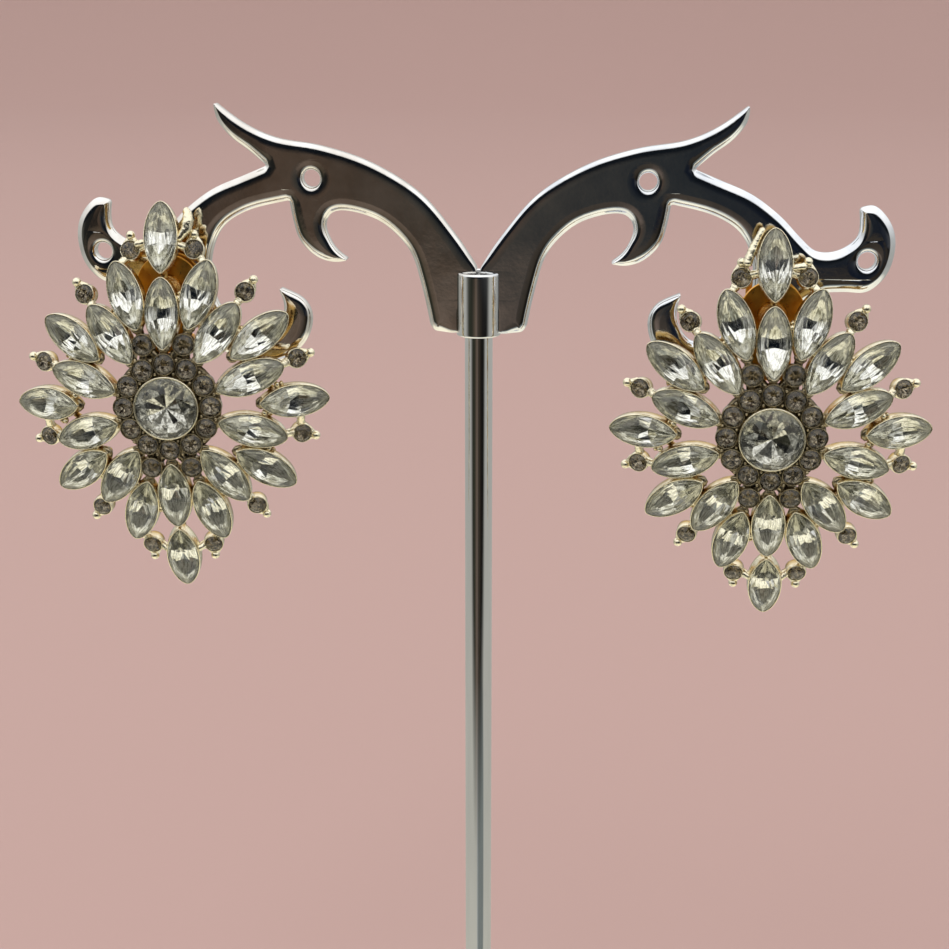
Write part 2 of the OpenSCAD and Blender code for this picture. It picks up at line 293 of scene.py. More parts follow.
def noise(tree, vector, size, detail=3, stretch=None):
    """Noise with features of about that size in millimetres."""
    if stretch:
        vector = node(tree, "Mapping", {"Vector": vector, "Scale": stretch})["Vector"]
    return node(tree, "TexNoise", {"Vector": vector, "Scale": 1 / size, "Detail": detail})["Fac"]


def ranged(tree, value, low, high, start=0.3, end=0.7):
    """Takes a value that runs from start to end to one that runs from low to high."""
    span = {"Value": value, "From Min": start, "From Max": end, "To Min": low, "To Max": high}
    return node(tree, "MapRange", span)["Result"]


def blended(tree, factor, *colours):
    """Two colours mixed by a factor, each given as a tuple or as a socket."""
    first, second = ((*c, 1) if isinstance(c, tuple) else c for c in colours)
    return node(tree, "Mix", {"Factor": factor, "A": first, "B": second}, data_type="RGBA")["Result"]


def bumped(tree, height, strength, distance):
    """A surface roughened by a height, to a distance in millimetres."""
    return node(tree, "Bump", {"Height": height, "Strength": strength, "Distance": distance * MM})["Normal"]


def plated(name, colour, worn, roughness, ripple=0.0, ripple_size=6, grain=None, pitted=0.0):
    """Mirror plating with faint clouding, a slow ripple and fine pits."""
    material, tree, bsdf = shader(name)
    where = place_of(tree)
    cloud = noise(tree, where, 3.5, stretch=grain)
    rub = noise(tree, where, 0.5, detail=5, stretch=grain)
    height = maths(tree, "MULTIPLY", noise(tree, where, ripple_size, detail=1, stretch=grain), ripple)
    if pitted:
        pits = maths(tree, "MULTIPLY", noise(tree, where, 0.7), pitted)
        height = maths(tree, "ADD", height, pits)
    fill(tree, bsdf, {
        "Metallic": 1,
        "Base Color": blended(tree, ranged(tree, cloud, 0, 1, 0.35, 0.7), colour, worn),
        "Roughness": ranged(tree, rub, *roughness),
        "Normal": bumped(tree, height, 1, 1),
    })
    return material


def maths(tree, operation, *values, clamp=False):
    """A maths node on sockets or numbers."""
    return node(tree, "Math", dict(enumerate(values)), operation=operation, use_clamp=clamp)["Value"]


def attribute(tree, name, output):
    """A value stored with a piece's points."""
    return node(tree, "Attribute", attribute_name=name)[output]


def parts(tree, vector):
    """The X, Y and Z of a vector."""
    return node(tree, "SeparateXYZ", {"Vector": vector})


def cast_gold(name, pale, deep, roughness):
    """Granular cast metal with pale gold plating, darkened by painted shade deeper in its hollows."""
    material, tree, bsdf = shader(name)
    where = place_of(tree)
    cloud = ranged(tree, noise(tree, where, 1.1), -0.18, 0.18)
    # Painted shade: the deeper a point lies behind a stone's seat, the more the deep colour takes over
    painted_shade = maths(tree, "ADD", attribute(tree, "hollow_shade", "Fac"), cloud, clamp=True)
    fill(tree, bsdf, {
        "Metallic": 1,
        "Base Color": blended(tree, painted_shade, pale, deep),
        "Roughness": ranged(tree, noise(tree, where, 0.35, detail=4), *roughness),
        "Normal": bumped(tree, noise(tree, where, 0.4), 0.8, 0.08),
    })
    return material


def cut_glass(name, colour):
    """Clear cut glass with the faintest rubbing on its faces."""
    material, tree, bsdf = shader(name)
    rub = ranged(tree, noise(tree, place_of(tree), 0.6), 0.0, 0.03)
    fill(tree, bsdf, {"Base Color": (*colour, 1), "Transmission Weight": 1, "IOR": 1.55, "Roughness": rub})
    return material


def streaks(tree, cut, size=0.09):
    """Fine streaks that run from tip to tip of a pointed stone."""
    narrow = maths(tree, "SUBTRACT", 1.08, maths(tree, "MULTIPLY", cut["Y"], cut["Y"]))
    where = node(tree, "CombineXYZ", {
        "X": maths(tree, "DIVIDE", cut["X"], narrow),
        "Y": maths(tree, "MULTIPLY", cut["Y"], 0.22),
        "Z": maths(tree, "MULTIPLY", cut["Z"], 0.2),
    })["Vector"]
    return noise(tree, where, size, detail=4)


def foil(name, colour, dull, grain):
    """The mirror foil of a round stone, with small blotches over a grain of that depth."""
    material, tree, bsdf = shader(name)
    where = place_of(tree)
    blotch = ranged(tree, noise(tree, where, 0.45, detail=4), 0, 1, 0.42, 0.6)
    fill(tree, bsdf, {
        "Metallic": 1,
        "Base Color": blended(tree, blotch, colour, dull),
        "Roughness": ranged(tree, blotch, 0.04, 0.16, 0, 1),
        "Normal": bumped(tree, noise(tree, where, 0.3), 1, grain),
    })
    return material


def streaked_foil(name, bright, cream, dull):
    """The foil of a pointed stone: bright, then a painted cream reflection and softer on its outer half,
    with fine streaks.
    """
    material, tree, bsdf = shader(name)
    cut = parts(tree, attribute(tree, "cut", "Vector"))
    outer = ranged(tree, cut["Y"], 0, 1, 0.0, 0.3)
    height = streaks(tree, cut)
    line = ranged(tree, height, 0, 1, 0.51, 0.56)
    blotch = ranged(tree, noise(tree, place_of(tree), 0.4, detail=4), 0, 0.8, 0.5, 0.72)
    mark = maths(tree, "MAXIMUM", blotch, line)
    mark = maths(tree, "MULTIPLY", mark, ranged(tree, outer, 0.5, 0.85, 0, 1))
    fill(tree, bsdf, {
        "Metallic": ranged(tree, outer, 1, 0.7, 0, 1),
        # Painted reflection: the outer half's foil turns cream
        "Base Color": blended(tree, mark, blended(tree, outer, bright, cream), dull),
        "Roughness": ranged(tree, outer, 0.03, 0.09, 0, 1),
        "Normal": bumped(tree, height, 1, 0.012),
    })
    return material


def floor_paint(name):
    """Matt paint with a hardly visible, slow change of tone."""
    material, tree, bsdf = shader(name)
    fade = ranged(tree, noise(tree, place_of(tree), 900, detail=1), 0, 1)
    paint = blended(tree, fade, FLOOR_COLOUR, tuple(c * 0.985 for c in FLOOR_COLOUR))
    fill(tree, bsdf, {"Base Color": paint, "Roughness": 0.8})
    return material


CHROME = plated("chrome", (0.86, 0.86, 0.86), (0.78, 0.78, 0.78), (0.05, 0.11), 0.012, 5, (1, 1, 0.12))
FOOT_CHROME = plated("foot_chrome", (0.62, 0.62, 0.63), (0.53, 0.53, 0.54), (0.05, 0.13), 0.012, 5)
# The warm tint of the left arm's plating and the cool tint of the right arm's are painted reflection
ARM_PLATING = {
    side: plated(f"arm_plating_{tone}", colour, worn, (0.03, 0.11), 0.05, 7, pitted=0.006)
    for side, tone, colour, worn in (
        ("left", "warm", (0.86, 0.85, 0.83), (0.7, 0.66, 0.61)),
        ("right", "cool", (0.85, 0.86, 0.88), (0.68, 0.71, 0.76))
    )
}
# Both golds turn to their deep colour in the hollows, which is painted shade
GOLD = cast_gold("pale_gold", (0.9, 0.83, 0.63), (0.44, 0.28, 0.09), (0.12, 0.3))
# A darker copy of the gold, painted shade for the recess about the ring: it goes on the small cups inside
# the rim, the beads, the back plate, the ridges at the rays' inner tips and the accent webs
SHADED_GOLD = cast_gold("shaded_gold", (0.44, 0.37, 0.24), (0.07, 0.05, 0.028), (0.16, 0.38))
AMBER_GOLD = plated("amber_gold", (0.9, 0.47, 0.08), (0.66, 0.31, 0.05), (0.26, 0.44), 0.02, 3)
GLASS = cut_glass("clear_glass", (0.97, 0.975, 0.945))
# The cream colour on the pointed stones' outer halves is painted reflection
GLASS_FOIL = streaked_foil("silver_foil", (0.98, 0.98, 0.96), (0.98, 0.96, 0.82), (0.27, 0.25, 0.17))
CENTRE_FOIL = foil("centre_foil", (0.72, 0.71, 0.66), (0.34, 0.335, 0.3), 0.002)
SMOKY = cut_glass("smoky_glass", (0.46, 0.42, 0.36))
SMOKY_FOIL = foil("smoky_foil", (0.9, 0.86, 0.78), (0.12, 0.1, 0.08), 0.06)


# Places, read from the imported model

def node_islands(name):
    """The separate solids of a node, each as an array of its different points."""
    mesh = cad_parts[name].data
    points = np.zeros(len(mesh.vertices) * 3)
    mesh.vertices.foreach_get("co", points)
    points, owner = np.unique(np.round(points.reshape(-1, 3) / MM, 3), axis=0, return_inverse=True)
    owner = owner.reshape(-1)
    leader = np.arange(len(points))

    def lead(i):
        while leader[i] != i:
            i = leader[i]
        return i

    for edge in mesh.edges:
        a, b = (lead(owner[v]) for v in edge.vertices)
        leader[max(a, b)] = min(a, b)
    leads = np.array([lead(i) for i in range(len(points))])
    return [points[leads == i] for i in np.unique(leads)]


class Stone:
    """Where a stone stands: its frame, with Y away from the earring's middle and Z outwards."""

    def __init__(self, points, middle=None, up=None, lift=LIFT):
        axes = svd(points - points.mean(axis=0), full_matrices=False)[2]
        spreads = [points @ a for a in axes]
        out = axes[2] if axes[2][1] < 0 else -axes[2]
        self.length, self.width = (float(np.ptp(s)) for s in spreads[:2])
        centre = sum((s.min() + s.max()) / 2 * a for s, a in zip(spreads, axes))
        away = up if middle is None else centre - middle
        if self.length > 1.5 * self.width:
            along = axes[0] if axes[0] @ away > 0 else -axes[0]
        else:
            along = away - (away @ out) * out
            along = along / norm(along)
        self.origin = centre + lift * out
        self.out = out
        self.along = along
        self.place = Matrix([*zip(np.cross(along, out), along, out, self.origin), (0, 0, 0, 1)])


class Earring:
    """One earring's stones and its own frame: X across, Y up, Z outwards."""

    def __init__(self, side):
        self.side = side
        (centre,) = node_islands(f"{side}_centre_stone")
        pointed = [node_islands(f"{side}_navette_{i:02d}")[0] for i in range(1, 23)]
        self.centre = Stone(centre, up=pointed[20].mean(axis=0) - pointed[21].mean(axis=0), lift=CENTRE_LIFT)
        middle = self.centre.origin
        self.navettes = [Stone(p, middle) for p in pointed]
        self.small = [Stone(p, middle, lift=SMALL_LIFT) for p in node_islands(f"{side}_small_stones")]
        self.place = self.centre.place
        self.to_local = self.place.inverted()
        self.ring = self.between(0, ACCENT_FROM)
        self.accents = self.between(ACCENT_FROM, RIM_FROM)
        self.rim = self.between(RIM_FROM, RIM_TO)
        (self.frame_points,) = node_islands(f"{side}_frame")

    def between(self, near, far):
        """The small stones that stand at such a distance from the earring's middle."""
        return [s for s in self.small if near <= (self.to_local @ Vector(s.origin)).xy.length < far]

    def scale(self, stone):
        """The stones within the rim fill their cups more than those on it."""
        return 1.0 if stone in self.rim else RING_SCALE


# Stones

def lens_ring(length, width, z, steps, share=1.0):
    """A pointed oval, blunter at its outer tip, from its inner tip round by the right."""
    points = []
    for i in range(2 * steps):
        turn = pi * (i / steps - 0.5)
        across, along = cos(turn), sin(turn)
        across = copysign(abs(across) ** (FULLNESS_OUT if along > 0 else FULLNESS_IN), across)
        points.append((width / 2 * across * share, length / 2 * along * share, z))
    return points


def circle_ring(radius, z, steps, start=0.0):
    angles = [start + 2 * pi * i / steps for i in range(steps)]
    return [(radius * cos(a), radius * sin(a), z) for a in angles]


def brilliant(outline, cut, fine=1):
    """A brilliant cut on any outline: outline(share, z) gives a ring of 2 * MAINS * fine points.
    Returns points, crown faces, and the faces of girdle and back."""
    count = 2 * MAINS * fine
    top, low = (outline(1, z) for z in cut["girdle"])
    table = outline(cut["table"], cut["table_z"])[::2 * fine]
    star = outline(cut["star"], cut["star_z"])[fine::2 * fine]
    lower = outline(cut["lower"], cut["lower_z"])[fine::2 * fine]
    lower = [(x, y, z + cut["uneven"] * LUMPS.uniform(-1, 1)) for x, y, z in lower]
    points = [*top, *low, *table, *star, *lower, (0, 0, cut["culet_z"])]
    t, s, p = 2 * count, 2 * count + MAINS, 2 * count + 2 * MAINS
    culet = len(points) - 1
    front = [tuple(t + i for i in range(MAINS))]
    back = []
    for i in range(count):
        back.append((i, i + count, (i + 1) % count + count, (i + 1) % count))
    for j in range(MAINS):
        after, before = (j + 1) % MAINS, (j - 1) % MAINS
        g = 2 * j * fine
        front += [(t + j, s + j, t + after), (t + j, s + before, g), (t + j, g, s + j)]
        back += [(culet, p + before, g + count), (culet, g + count, p + j)]
        for k in range(2 * fine):
            a, b = g + k, (g + k + 1) % count
            front.append((s + j, a, b))
            back.append((p + j, b + count, a + count))
    return points, front, back


def navette_faces(stone):
    """A pointed stone: a long table in a ring of facets, and back facets that fan from its tips to a
    band across its middle. Returns the same as brilliant."""
    count = 2 * MAINS
    length, width = stone.length, stone.width
    share, table_z = NAVETTE_TABLE
    top, low = (lens_ring(length, width, z, MAINS) for z in NAVETTE_GIRDLE)
    table = lens_ring(length, width, table_z, MAINS, share)[::2]
    points = [*top, *low, *table]
    t = 2 * count
    front = [tuple(t + i for i in range(MAINS))]
    back = [(i, i + count, (i + 1) % count + count, (i + 1) % count) for i in range(count)]
    for j in range(MAINS):
        after, g = t + (j + 1) % MAINS, 2 * j
        front += [(t + j, g + 1, after), (t + j, g, g + 1), (after, g + 1, (g + 2) % count)]

    ridges = {}
    for row, (part, far, z) in enumerate(NAVETTE_RIDGES):
        for x in (1, -1):
            for y in (1, -1):
                if part == 0 and x < 0:
                    ridges[row, x, y] = ridges[row, 1, y]
                    continue
                ridges[row, x, y] = len(points)
                spot = (x * part * width / 2, y * far, z)
                points.append(tuple(c + NAVETTE_UNEVEN * LUMPS.uniform(-1, 1) for c in spot))
    keel = len(NAVETTE_RIDGES) - 1
    for x in (1, -1):
        middle = count + (MAINS // 2 if x > 0 else MAINS // 2 + MAINS)
        for y in (1, -1):
            step = x * y
            tip = count + (MAINS if y > 0 else 0)
            side = [count + (middle - count + step * k) % count for k in range(MAINS // 2 + 1)]
            for a, b in zip(side, side[1:]):
                back.append((ridges[0, x, y], a, b))
            for row in range(keel):
                back.append((ridges[row, x, y], tip, ridges[row + 1, x, y]))
        back.append((middle, ridges[0, x, 1], ridges[0, x, -1]))
        for row in range(keel):
            spots = (row, 1), (row, -1), (row + 1, -1), (row + 1, 1)
            back.append(tuple(ridges[r, x, y] for r, y in spots))
    return points, front, back


def add_gem(shape, stone, cut=None, fine=1, scale=1.0):
    """A stone: its glass in the first material, its foiled back in the second."""
    def outline(share, z):
        return circle_ring(stone.length / 2 * share * scale, z, 2 * MAINS * fine, pi / 2)

    points, front, back = brilliant(outline, cut, fine) if cut else navette_faces(stone)
    shape.add(points, front + back, stone.place, [0] * len(front) + [1] * len(back))
    apart = LUMPS.uniform(0, STREAKS_APART)
    shape.cut += [(x / (stone.width / 2), y / (stone.length / 2), z + apart) for x, y, z in points]


def make_stones(earring):
    side = earring.side
    for i, stone in enumerate(earring.navettes, 1):
        shape = Shape()
        add_gem(shape, stone)
        name = f"{side}_pointed_stone_{i:02d}"
        shape.piece(name, (GLASS, GLASS_FOIL), f"{side}_navette_{i:02d}")
    shape = Shape()
    add_gem(shape, earring.centre, ROUND_CUT, fine=3)
    shape.piece(f"{side}_middle_stone", (GLASS, CENTRE_FOIL), f"{side}_centre_stone")
    shape = Shape()
    for stone in earring.small:
        add_gem(shape, stone, SMALL_CUT, scale=earring.scale(stone))
    shape.piece(f"{side}_smoky_stones", (SMOKY, SMOKY_FOIL), f"{side}_small_stones")


# Settings

def all_round(side, turn, steps, shift=0.0):
    """Unit vectors all round an axis that has these two across it."""
    angles = [2 * pi * (i + shift) / steps for i in range(steps)]
    return [side * cos(a) + turn * sin(a) for a in angles]


def add_bar(shape, start, end, first, last, steps=12, bulge=5):
    """A round bar with rounded ends, from one point to another, with a radius at each."""
    axis = (end - start).normalized()
    side = axis.orthogonal().normalized()
    ways = all_round(side, axis.cross(side), steps)
    rings = []
    ends = (start, first, -1, range(bulge, -1, -1)), (end, last, 1, range(bulge + 1))
    for point, radius, sign, turns in ends:
        for k in turns:
            lean = pi / 2 * k / (bulge + 0.3)
            middle = point + axis * (sign * radius * sin(lean))
            rings.append([middle + way * (radius * cos(lean)) for way in ways])
    shape.loft(rings)


def add_nugget(shape, middle, radius, rows=6, columns=9, paint=0):
    """A rough round lump of cast metal."""
    rings = []
    for r in range(rows + 1):
        lean = pi * (0.06 + 0.88 * r / rows) - pi / 2
        ring = []
        for c in range(columns):
            turn = 2 * pi * (c + 0.5 * (r % 2)) / columns
            size = radius * LUMPS.uniform(0.78, 1.14)
            spot = Vector((cos(turn) * cos(lean), sin(turn) * cos(lean), sin(lean)))
            ring.append(Vector(middle) + spot * size)
        rings.append(ring)
    shape.loft(rings, paint=paint)


def add_ridge(shape, path, radii, out, spacing=0.3, columns=10, paint=0):
    """A rough bar of cast metal along a path of points, with a radius at each."""
    middles, sizes = [], []
    for i in range(len(path) - 1):
        steps = max(1, round((path[i + 1] - path[i]).length / spacing))
        for k in range(steps + (i == len(path) - 2)):
            middles.append(path[i].lerp(path[i + 1], k / steps))
            sizes.append(radii[i] + (radii[i + 1] - radii[i]) * k / steps)
    last = len(middles) - 1
    rings = []
    for i, (middle, size) in enumerate(zip(middles, sizes)):
        axis = (middles[min(i + 1, last)] - middles[max(i - 1, 0)]).normalized()
        side = axis.cross(out).normalized()
        ways = all_round(side, axis.cross(side), columns, 0.5 * (i % 2))
        ring = [way * size * LUMPS.uniform(0.88, 1.1) for way in ways]
        if i == 0:
            rings.append([middle + p * 0.45 - axis * size * 0.6 for p in ring])
        rings.append([middle + p for p in ring])
        if i == last:
            rings.append([middle + p * 0.45 + axis * size * 0.6 for p in ring])
    shape.loft(rings, paint=paint)


def inward(loop):
    """Unit normals to the left of a closed outline."""
    ahead = np.roll(loop, -1, axis=0) - np.roll(loop, 1, axis=0)
    ahead /= norm(ahead, axis=1)[:, None]
    return np.stack([-ahead[:, 1], ahead[:, 0]], axis=1)


def cup_ring(stone, offset, z, steps):
    """A pointed stone's outline, moved outwards or made smaller by an offset."""
    if offset < 0:
        return lens_ring(stone.length, stone.width, z, steps, 1 + 2 * offset / stone.width)
    ring = np.array(lens_ring(stone.length, stone.width, z, steps))
    ring[:, :2] -= inward(ring[:, :2]) * offset
    return [tuple(p) for p in ring]


def add_cup(shape, stone, section, steps, radius=None, paint=0):
    """The cup round a stone, as one closed shell that follows its edge."""
    if radius:
        rings = [circle_ring(radius + r, z, steps) for r, z in section]
    else:
        rings = [cup_ring(stone, r, z, steps) for r, z in section]
    shape.loft(rings, stone.place, paint=paint)


def turned(section, steps, up=0.0):
    """Rings from a section's radius and height pairs, about an axis that is moved up."""
    return [[(x, y + up, z) for x, y, z in circle_ring(r, z, steps)] for r, z in section]


def behind(stone, depth, shift=(0, 0)):
    """A point at a depth behind a stone's seat, moved across and along it."""
    return stone.place @ Vector((*shift, -depth))


def edge_towards(stone, spot, depth):
    """The point of a pointed stone's cup that is nearest to a spot, at a depth."""
    ring = [stone.place @ Vector(p) for p in cup_ring(stone, 0.25, -depth, 16)]
    return min(ring, key=lambda p: (p - spot).length)


def nearest_edges(earring, spot, depth, count=3):
    """The nearest points to a spot on the cups of pointed stones, one for each of a few cups."""
    edges = [edge_towards(n, spot, depth) for n in earring.navettes]
    return sorted(edges, key=lambda e: (e - spot).length)[:count]


def ball_way(earring, stone):
    """The way a rim stone's ball points: towards the frame's outermost points near it."""
    near = earring.frame_points - stone.origin
    near = near[norm(near, axis=1) < BALL_FAR]
    flat = near - np.outer(near @ stone.out, stone.out)
    away = flat[(norm(flat, axis=1) > BALL_NEAR) & (flat @ stone.along > 0)].mean(axis=0)
    return Vector(away / norm(away))


def add_rim_setting(shape, earring, stone):
    """A rim stone's neck and ball, and rough webs from its cup to the pointed stones beside it."""
    origin, out, way = Vector(stone.origin), Vector(stone.out), ball_way(earring, stone)
    ball = origin + way * BALL_OUT - out * BALL_SUNK
    side = out.cross(way)
    for turn, depth, size in NECK:
        edge = origin + (way * cos(turn) + side * sin(turn)) * NECK_FROM
        add_bar(shape, edge - out * depth, ball - out * (depth - NECK_RISE), size, NECK_END)
    add_bar(shape, ball, ball + out * BALL_LONG, BALL_RADIUS, BALL_RADIUS, 16, 7)
    for rank, edge in enumerate(nearest_edges(earring, origin, WEB_DEPTH)):
        if rank and (edge - origin).length > WEB_REACH:
            continue
        ahead = (edge - origin).normalized()
        path = [origin + ahead * along - out * depth for along, depth in WEB_STARTS]
        path.append(edge + ahead * WEB_END[0] - out * WEB_END[1])
        add_ridge(shape, path, WEB_RADII, out)


def add_bridge(shape, one, other, depth, radius):
    """A round bar behind two stones."""
    add_bar(shape, behind(one, depth), behind(other, depth), radius, radius)


def add_ridge_at(shape, stone, depth, ridge, up=0.0, paint=0):
    """A rough ridge at a depth behind a stone's seat."""
    path = [behind(stone, depth, (x, y + up)) for x, y, size in ridge]
    add_ridge(shape, path, [size for x, y, size in ridge], Vector(stone.out), paint=paint)


def add_joints(shape, earring):
    """Bars behind the rays, and rough lumps where neighbouring cups meet and at their inner tips."""
    navettes = earring.navettes
    rays = navettes[:RAYS]
    for i, stone in enumerate(rays):
        other = rays[(i + 1) % RAYS]
        add_bridge(shape, stone, other, *BRIDGE)
        touch = edge_towards(other, edge_towards(stone, Vector(other.origin), JOINT_DEPTH), JOINT_DEPTH)
        touch = (touch + edge_towards(stone, touch, JOINT_DEPTH)) / 2
        away, out = Vector(stone.along + other.along).normalized(), Vector(stone.out)
        for far, depth, radius in JOINT_LUMPS:
            add_nugget(shape, touch + away * far - out * depth, radius)
        add_ridge_at(shape, stone, INNER_DEPTH, INNER_RIDGE, -stone.length / 2, paint=1)
    top, low = navettes[RAYS:]
    add_bridge(shape, rays[0], top, *TIP_BRIDGE)
    add_bridge(shape, rays[RAYS // 2], low, *TIP_BRIDGE)
    for ridge in TOP_RIDGES[earring.side]:
        add_ridge_at(shape, top, TOP_DEPTH, ridge)


def add_accent_webs(shape, earring):
    """Rough metal between an accent stone, the ring and the pointed stones beside it."""
    for stone in earring.accents:
        start = behind(stone, ACCENT_WEB_DEPTH)
        nearest = sorted(earring.ring, key=lambda s: norm(s.origin - stone.origin))[:2]
        ends = [behind(other, ACCENT_WEB_DEPTH) for other in nearest]
        for end in ends + nearest_edges(earring, start, ACCENT_WEB_DEPTH):
            add_ridge(shape, [start, end], ACCENT_WEB_RADII, Vector(stone.out), paint=1)


def add_beads(shape, earring):
    """Small beads between the round stones of the ring, outside and inside."""
    middle = earring.centre.origin
    for stone in earring.ring:
        for other in earring.ring:
            apart = norm(other.origin - stone.origin)
            turn = np.cross(stone.origin - middle, other.origin - middle) @ earring.centre.out
            if not BEADS_APART[0] < apart < BEADS_APART[1] or turn < 0:
                continue
            half = (stone.origin + other.origin) / 2
            away = (half - middle) / norm(half - middle)
            for far, height, radius in BEADS:
                add_nugget(shape, half + away * far + height * stone.out, radius, paint=1)


def make_setting(earring):
    shape = Shape()
    for stone in earring.navettes:
        add_cup(shape, stone, CUP_SECTION, 20)
    for stone in earring.small:
        # Cups inside the rim take the darker gold, which is painted shade
        inside = stone not in earring.rim
        add_cup(shape, stone, SMALL_SECTION, 24, stone.length / 2 * earring.scale(stone), paint=int(inside))
    add_cup(shape, earring.centre, CENTRE_SECTION, 64, earring.centre.length / 2)
    for stone in earring.rim:
        add_rim_setting(shape, earring, stone)
    add_joints(shape, earring)
    add_accent_webs(shape, earring)
    add_beads(shape, earring)
    shape.loft(turned(BACK_PLATE, 60), earring.place, paint=1)
    shape.loft(turned(BOSS, 32, BOSS_UP), earring.place)
    side = earring.side
    mesh = shape.piece(f"{side}_setting", (GOLD, SHADED_GOLD), f"{side}_frame", gap=WELD)
    paint_hollow_shade(mesh, earring)


def paint_hollow_shade(mesh, earring):
    """Stores the painted shade: how deep each point lies behind the nearest stone's seat, from 0 at the rims
    to 1.
    """
    seats = np.array([[*s.origin, *s.out] for s in earring.navettes + earring.small + [earring.centre]])
    points = np.array([v.co for v in mesh.vertices]) / MM
    apart = norm(points[:, None, :] - seats[None, :, :3], axis=2)
    nearest = seats[apart.argmin(axis=1)]
    depth = -np.einsum("ij,ij->i", points - nearest[:, :3], nearest[:, 3:])
    hollow_shade = mesh.attributes.new("hollow_shade", "FLOAT", "POINT")
    hollow_shade.data.foreach_set("value", np.clip((depth - HOLLOW_SHADE_FROM) / HOLLOW_SHADE_DEEP, 0, 1).astype(np.float32))


# Stand

def held(section, near=0.12, long=1.2):
    """A section with points close to the ends of its long lines, which keeps their shading straight."""
    points = [section[0]]
    for (a, b), (c, d) in zip(section, section[1:]):
        length = hypot(c - a, d - b)
        if length > long:
            for share in (near / length, 2 * near / length, 1 - 2 * near / length, 1 - near / length):
                points.append((a + (c - a) * share, b + (d - b) * share))
        points.append((c, d))
    return points


def lathe(name, section, material, replaced, steps, z=0.0):
    """A turned piece of the stand, from its section's radius and height pairs."""
    shape = Shape()
    shape.loft(turned([(r, z + h) for r, h in held(section)], steps))
    shape.piece(name, (material,), replaced)


def rounded(corner, before, after, radius, steps=5):
    """Points of a rounded corner in a section."""
    corner, before, after = (Vector(p) for p in (corner, before, after))
    start = corner + (before - corner).normalized() * radius
    end = corner + (after - corner).normalized() * radius
    shares = [i / steps for i in range(steps + 1)]
    return [tuple(start * (1 - t) ** 2 + corner * (2 * t * (1 - t)) + end * t ** 2) for t in shares]


def size_of(node):
    low, high = (np.array(c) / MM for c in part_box(node))
    return low, high


def make_rod_and_foot():
    low, (r, _, h) = size_of("stand_base")
    foot = [
        (NEAR_AXIS, 0), *rounded((r, 0), (0, 0), (r, h), FOOT_ROUND[0]),
        *rounded((r, h), (r, 0), (0, h), FOOT_ROUND[1]), (NEAR_AXIS, h)
    ]
    lathe("foot", foot, FOOT_CHROME, "stand_base", 160)
    low, high = size_of("stand_post")
    r = high[0]
    end = [(NEAR_AXIS, 0), (r - 0.1, 0), (r, 0.1), (r, 0.2), (r, 0.3)]
    rod = [(a, low[2] + h) for a, h in end] + [(a, high[2] - h) for a, h in reversed(end)]
    lathe("rod", rod, CHROME, "stand_post", 64)
    low, high = size_of("stand_collar")
    r, h = high[0], high[2] - low[2]
    bore, lip, (socket, deep, deepest) = COLLAR_BORE, COLLAR_LIP, SOCKET
    collar = [
        (bore, 0), *rounded((r, 0), (bore, 0), (r, h), COLLAR_ROUND[0]),
        *rounded((r, h), (r, 0), (bore, h), COLLAR_ROUND[1]),
        *rounded((lip, h), (r, h), (lip, 0), COLLAR_ROUND[2]),
        (socket, h - deep), (NEAR_AXIS, h - deepest)
    ]
    lathe("collar", collar, CHROME, "stand_collar", 96, low[2])


def front_loops(name):
    """The closed outlines of a plate's front face, as arrays of X and Z, the longest first."""
    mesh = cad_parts[name].data
    edges = {}
    for polygon in mesh.polygons:
        if polygon.normal.y > -0.9:
            continue
        corners = [tuple(round(c / MM, 3) for c in mesh.vertices[v].co) for v in polygon.vertices]
        for a, b in zip(corners, corners[1:] + corners[:1]):
            if (b, a) in edges:
                del edges[b, a]
            else:
                edges[a, b] = True
    after = dict(edges.keys())
    loops = []
    while after:
        start, point = next(iter(after.items()))
        loop = [start]
        del after[start]
        while point != start:
            loop.append(point)
            point = after.pop(point)
        loops.append(np.array([(p[0], p[2]) for p in loop]))
    return sorted(loops, key=lambda l: -len(l))


def resampled(loop):
    """Even points along a smooth curve through a closed outline, which keeps its sharp corners."""
    ahead = np.roll(loop, -1, axis=0) - loop
    angle = np.arctan2(ahead[:, 1], ahead[:, 0])
    turn = np.abs((angle - np.roll(angle, 1) + pi) % (2 * pi) - pi)
    long, before = norm(ahead, axis=1), norm(np.roll(ahead, 1, axis=0), axis=1)
    sharp = (turn > CORNER) | (long > UNEVEN * before) | (before > UNEVEN * long)
    count = len(loop)
    points = []
    for i in range(count):
        a, b, c, d = (loop[(i + k) % count] for k in (-1, 0, 1, 2))
        if sharp[i]:
            a = 2 * b - c
        if sharp[(i + 1) % count]:
            d = 2 * c - b
        square, cube = 2 * a - 5 * b + 4 * c - d, 3 * b - a - 3 * c + d
        pieces = max(1, round(float(norm(c - b)) / OUTLINE_STEP))
        for t in (k / pieces for k in range(pieces)):
            points.append((2 * b + (c - a) * t + square * t ** 2 + cube * t ** 3) / 2)
    return np.array(points)


def evened(values):
    """Each value's average with its two neighbours."""
    return (np.roll(values, 1) + values + np.roll(values, -1)) / 3


def reach_inside(loop, normals, outline, most):
    """How far each point can move inwards before another stretch of outline is as near, or before
    it meets its neighbours in a bend."""
    reach = np.full(len(loop), most)
    open_still = np.ones(len(loop), bool)
    for s in np.arange(0.1, most + 0.1, 0.1):
        spots = loop + normals * s
        nearest = np.sqrt(((spots[:, None] - outline[None]) ** 2).sum(axis=2)).min(axis=1)
        stop = open_still & (nearest < 0.93 * s - 0.02)
        reach[stop] = max(0.05, s - 0.1)
        open_still &= ~stop
    ahead = np.roll(loop, -1, axis=0) - loop
    closing = ((normals - np.roll(normals, -1, axis=0)) * ahead).sum(axis=1) / (ahead ** 2).sum(axis=1)
    bend = 1 / np.maximum(closing, 1 / most)
    return np.minimum(reach, np.minimum(bend, np.roll(bend, 1)))


